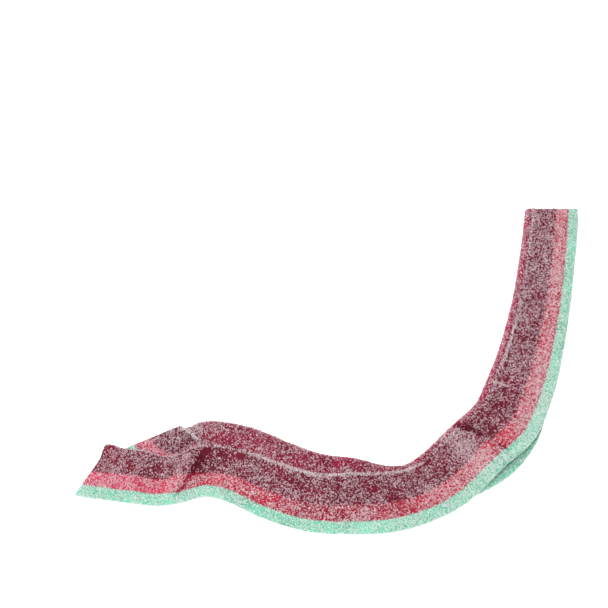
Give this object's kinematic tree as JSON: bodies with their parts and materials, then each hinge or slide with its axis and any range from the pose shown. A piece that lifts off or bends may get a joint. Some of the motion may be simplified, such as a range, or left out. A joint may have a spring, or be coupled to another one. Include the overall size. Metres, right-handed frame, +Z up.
{
  "type": "sour candy belt",
  "caption": "Long flat sugar-coated gummy belt with lengthwise green, red and maroon stripes, folded lengthwise and lying in a J shape.",
  "frame": {"origin": "middle of the belt's bounding box, on the surface it lies on", "axes": "+X along the longer way of the J, from the parted left end to the right arm; +Y away from the viewer, along the right arm; +Z up"},
  "size_m": [0.1598, 0.1158, 0.0083],
  "materials": {
    "green_gummy": "sugar-coated mint green gummy",
    "red_gummy": "sugar-coated rose red gummy",
    "maroon_gummy": "sugar-coated maroon gummy"
  },
  "bodies": {
    "root": {"green_near": "green_gummy", "red_near": "red_gummy", "maroon_centre": "maroon_gummy", "red_far": "red_gummy", "green_far": "green_gummy"}
  },
  "joints": []
}
